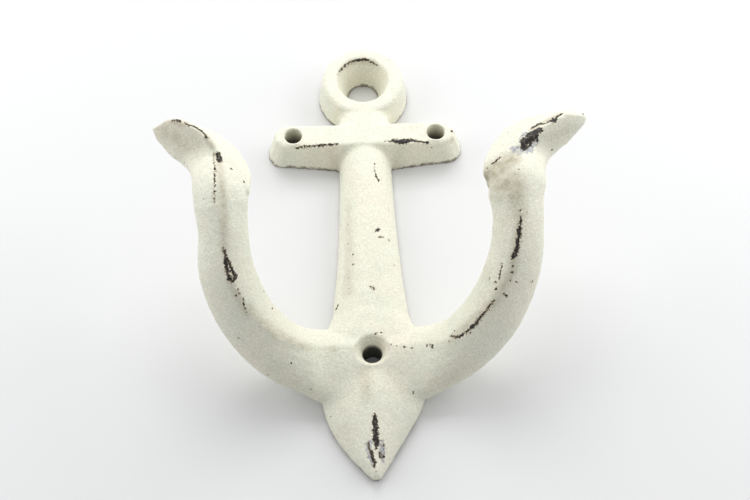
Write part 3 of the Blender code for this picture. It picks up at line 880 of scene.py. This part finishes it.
# Wavelengths of the paint's noise, and their detail where it isn't 2
GREEN_PATCHES = 7.0
WARM_PATCHES = 11.0
FAINT_PATCHES = (2.6, 4.0)
STAIN_AND_SHADE_PATCHES = (1.6, 4.0)
FOOT_PATCHES = 1.8
GRAIN = (0.5, 3.0)
SMEAR_TORN = (1.0, 4.0)
SMEAR_THIN = (0.7, 4.0)
SMEAR_SPECKS = (0.45, 3.0)
CHIP_RIM = (0.5, 4.0)
RUST_PATCHES = (0.6, 4.0)
GLOSS_PATCHES = (3.0, 3.0)
SAND_FINE = (0.45, 2.0)
SAND_COARSE = (1.1, 2.0)
SAND_HEIGHT = 0.11
PINHOLE_PATCHES = 3.0
PINHOLE_RIM = 0.4
# One pinhole at most in each cell of this size, and how much their radii differ, in cells
PINHOLE_PITCH = 1.3
PINHOLE_SPREAD = 0.10


def chip_mask(s):
    """How far a point is from a chip's rim, below 0 inside it, and 1 on bare iron."""
    fine = s.maths("MULTIPLY", s.maths("SUBTRACT", s.noise(*CHIP_RIM), 0.5), 1.5)
    rim = s.maths("ADD", s.map("chip"), fine)
    return rim, s.step(rim, 0.03, -0.03)


def pinholes(s):
    """Sparse dark dots, a few more of them along the ridges and on the stains and painted shade of
    the strokes.
    """
    cells = s.node("ShaderNodeTexVoronoi")
    s.links.new(s.place, cells.inputs["Vector"])
    cells.inputs["Scale"].default_value = 1.0 / PINHOLE_PITCH
    cells.inputs["Randomness"].default_value = 1.0
    split = s.node("ShaderNodeSeparateColor")
    s.links.new(cells.outputs["Color"], split.inputs[0])
    ridge = s.step(s.map("ridge"), 0.06, 0.30, 0.0, 0.10)
    worn = s.maths("ADD", ridge, s.maths("MULTIPLY", s.map("stain_and_shade"), 0.42))
    worn = s.maths("MULTIPLY", worn, s.step(s.noise(PINHOLE_PATCHES), 0.35, 0.60, 0.4, 1.0))
    chosen = s.step(s.maths("ADD", split.outputs[0], worn), 0.982, 0.992)
    size = s.maths("MULTIPLY", split.outputs[1], PINHOLE_SPREAD)
    ragged_by = s.maths("MULTIPLY", s.maths("SUBTRACT", s.noise(PINHOLE_RIM), 0.5), 0.22)
    away = s.maths("ADD", s.maths("SUBTRACT", cells.outputs["Distance"], size), ragged_by)
    return s.maths("MULTIPLY", chosen, s.step(away, 0.10, 0.06))


def stains_and_painted_shade(s, colour):
    """Tan over the stains, tan painted shade over the hollows and some strokes, and faintly in
    patches everywhere.
    """
    patches = s.step(s.noise(*STAIN_AND_SHADE_PATCHES), 0.25, 0.75, 0.55, 1.05)
    stain_and_shade = s.maths("MULTIPLY", s.map("stain_and_shade"), patches)
    # Painted shade: tan in the hollows, where shade falls
    hollow = s.step(s.map("hollow"), 0.02, 0.30, 0.0, 0.30)
    faint = s.maths("MULTIPLY", s.step(s.noise(*FAINT_PATCHES), 0.30, 0.72), 0.07)
    return s.mix(s.maths("ADD", s.maths("ADD", stain_and_shade, hollow), faint), colour, TAN)


def dark_at_the_foot(s, colour):
    """Dark brown in a ragged line where the sides meet the back."""
    height = s.node("ShaderNodeSeparateXYZ")
    s.links.new(s.place, height.inputs[0])
    foot = s.maths("ADD", height.outputs[2], s.step(s.noise(FOOT_PATCHES), 0.3, 0.7, -0.45, 0.45))
    return s.mix(s.step(foot, 1.30, 0.25, 0.0, 0.90), colour, DARK_BROWN)


def grained(s, colour):
    """The paint a little lighter and darker from grain to grain."""
    grain = s.step(s.noise(*GRAIN), 0.25, 0.75, 0.87, 1.07)
    grey = s.node("ShaderNodeCombineColor")
    for socket in grey.inputs:
        s.links.new(grain, socket)
    return s.mix(1.0, colour, grey.outputs[0], "MULTIPLY")


def smeared(s, colour):
    """Torn patches where the paint is rubbed thin, with iron showing in specks."""
    torn = s.maths("MULTIPLY", s.maths("SUBTRACT", s.noise(*SMEAR_TORN), 0.5), 2.4)
    there = s.step(s.maths("ADD", s.map("smear"), torn), 0.35, 0.75)
    there = s.maths("MULTIPLY", there, s.step(s.map("smear"), 0.0, 0.10))
    smear = s.maths("MULTIPLY", there, s.step(s.noise(*SMEAR_THIN), 0.36, 0.58, 0.30, 0.95))
    colour = s.mix(smear, colour, RUBBED)
    speck = s.maths("MULTIPLY", there, s.step(s.noise(*SMEAR_SPECKS), 0.60, 0.66))
    return s.mix(s.maths("MULTIPLY", speck, 0.85), colour, IRON)


def chipped(s, colour):
    """Bare iron in the chips, rusty at their rims, with a tan halo round them."""
    rim, bare = chip_mask(s)
    colour = s.mix(s.step(rim, 0.30, 0.02, 0.0, 0.75), colour, HALO)
    iron = s.mix(s.step(s.noise(*RUST_PATCHES), 0.50, 0.64), IRON, RUST)
    iron = s.mix(s.step(rim, -0.12, -0.01, 0.0, 0.35), iron, RUST)
    return s.mix(bare, colour, iron), bare


def sanded(s, bare):
    """The sand mould's fine bumps, lower in the chips."""
    sand = s.maths("ADD", s.noise(*SAND_FINE), s.maths("MULTIPLY", s.noise(*SAND_COARSE), 0.7))
    sand = s.maths("SUBTRACT", sand, s.maths("MULTIPLY", bare, 1.2))
    bump = s.node("ShaderNodeBump")
    bump.inputs["Strength"].default_value = 1.0
    bump.inputs["Distance"].default_value = SAND_HEIGHT * MM
    s.links.new(sand, bump.inputs["Height"])
    return bump.outputs[0]


def paint(slot):
    """Antique cream paint, chipped to the iron, over a sand-cast surface."""
    s = Shader(slot)
    colour = s.mix(s.step(s.noise(GREEN_PATCHES), 0.42, 0.62), CREAM, CREAM_GREEN)
    colour = s.mix(s.step(s.noise(WARM_PATCHES), 0.50, 0.68, 0.0, 0.8), colour, CREAM_WARM)
    colour = stains_and_painted_shade(s, colour)
    colour = dark_at_the_foot(s, colour)
    colour = grained(s, colour)
    colour = smeared(s, colour)
    # Painted shade, darkening down inside the screw holes
    colour = s.mix(s.maths("MULTIPLY", s.map("bore_shade"), 0.92), colour, BORE_SHADE)
    colour = s.mix(s.maths("MULTIPLY", pinholes(s), 0.85), colour, DARK_BROWN)
    colour, bare = chipped(s, colour)
    s.links.new(colour, s.out.inputs["Base Color"])
    gloss = s.step(s.noise(*GLOSS_PATCHES), 0.3, 0.7, 0.46, 0.60)
    s.links.new(s.maths("ADD", gloss, s.maths("MULTIPLY", bare, 0.08)), s.out.inputs["Roughness"])
    s.links.new(sanded(s, bare), s.out.inputs["Normal"])
    return s.material


paints = {slot: paint(slot) for slot in sorted(set(SLOTS.values()))}
for name in NODES:
    mesh = piece_mesh(name)
    mesh.materials.append(paints[SLOTS[name]])
    shade_as_one(mesh)
    piece = bpy.data.objects.new(f"cast_{name}", mesh)
    bpy.context.scene.collection.objects.link(piece)
    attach(piece, "root")
    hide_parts(name)


# --- Floor, lights and camera, in metres and watts --------------------------

FLOOR_HALF = 2.0
FLOOR_DROP = 0.00005
FLOOR_GREY = (0.75, 0.75, 0.75, 1.0)
FLOOR_ROUGHNESS = 0.9
SKY = (0.97, 0.985, 1.0, 1.0)
SKY_STRENGTH = 0.50
# (name, position, target, size, power)
LIGHTS = (
    ("key", (-0.03, 0.42, 0.50), (0.0, 0.02, 0.0), (0.40, 0.30), 1.85),
    ("back left", (-0.35, 0.42, 0.28), (0.0, 0.02, 0.0), (0.30, 0.30), 0.40),
    ("back right", (0.35, 0.42, 0.28), (0.0, 0.02, 0.0), (0.30, 0.30), 0.85),
    ("right", (0.30, 0.05, 0.18), (0.0, 0.0, 0.0), (0.25, 0.25), 0.42),
    ("left", (-0.30, 0.05, 0.18), (0.0, 0.0, 0.0), (0.25, 0.25), 0.35),
)
# The camera looks down by ELEVATION, turned by AZIMUTH and ROLL, in degrees
CAMERA_AT = (-0.00288, -0.18699, 0.34033)
ELEVATION, AZIMUTH, ROLL = 61.0, -1.41957, -0.55780
SENSOR_WIDTH_MM, LENS_MM = 36.0, 69.6
CLIP_START = 0.01


def plain_floor():
    bm = bmesh.new()
    bmesh.ops.create_grid(bm, x_segments=1, y_segments=1, size=FLOOR_HALF)
    mesh = bpy.data.meshes.new("floor")
    bm.to_mesh(mesh)
    bm.free()
    floor = bpy.data.objects.new("floor", mesh)
    floor.location.z = -FLOOR_DROP
    bpy.context.scene.collection.objects.link(floor)
    material = bpy.data.materials.new("floor")
    material.use_nodes = True
    shader = material.node_tree.nodes["Principled BSDF"]
    shader.inputs["Base Color"].default_value = FLOOR_GREY
    shader.inputs["Roughness"].default_value = FLOOR_ROUGHNESS
    mesh.materials.append(material)


def area_light(name, position, target, size, watts):
    light = bpy.data.lights.new(name, "AREA")
    light.shape = "RECTANGLE"
    light.size, light.size_y = size
    light.energy = watts
    thing = bpy.data.objects.new(name, light)
    thing.location = position
    thing.rotation_mode = "QUATERNION"
    thing.rotation_quaternion = (Vector(position) - Vector(target)).to_track_quat("Z", "Y")
    bpy.context.scene.collection.objects.link(thing)


def studio():
    world = bpy.data.worlds.new("studio")
    world.use_nodes = True
    background = world.node_tree.nodes["Background"]
    background.inputs["Color"].default_value = SKY
    background.inputs["Strength"].default_value = SKY_STRENGTH
    bpy.context.scene.world = world
    for light in LIGHTS:
        area_light(*light)
    bpy.context.scene.view_settings.view_transform = "Standard"


def camera():
    e, a, r = (math.radians(v) for v in (ELEVATION, AZIMUTH, ROLL))
    forward = Vector((-math.sin(a) * math.cos(e), math.cos(a) * math.cos(e), -math.sin(e)))
    level = Vector((math.cos(a), math.sin(a), 0.0))
    upright = level.cross(forward)
    right = level * math.cos(r) + upright * math.sin(r)
    up = upright * math.cos(r) - level * math.sin(r)
    data = bpy.data.cameras.new("camera")
    data.sensor_width = SENSOR_WIDTH_MM
    data.lens = LENS_MM
    data.clip_start = CLIP_START
    thing = bpy.data.objects.new("camera", data)
    matrix = Matrix((right, up, -forward)).transposed().to_4x4()
    matrix.translation = CAMERA_AT
    thing.matrix_world = matrix
    bpy.context.scene.collection.objects.link(thing)
    bpy.context.scene.camera = thing


plain_floor()
studio()
camera()
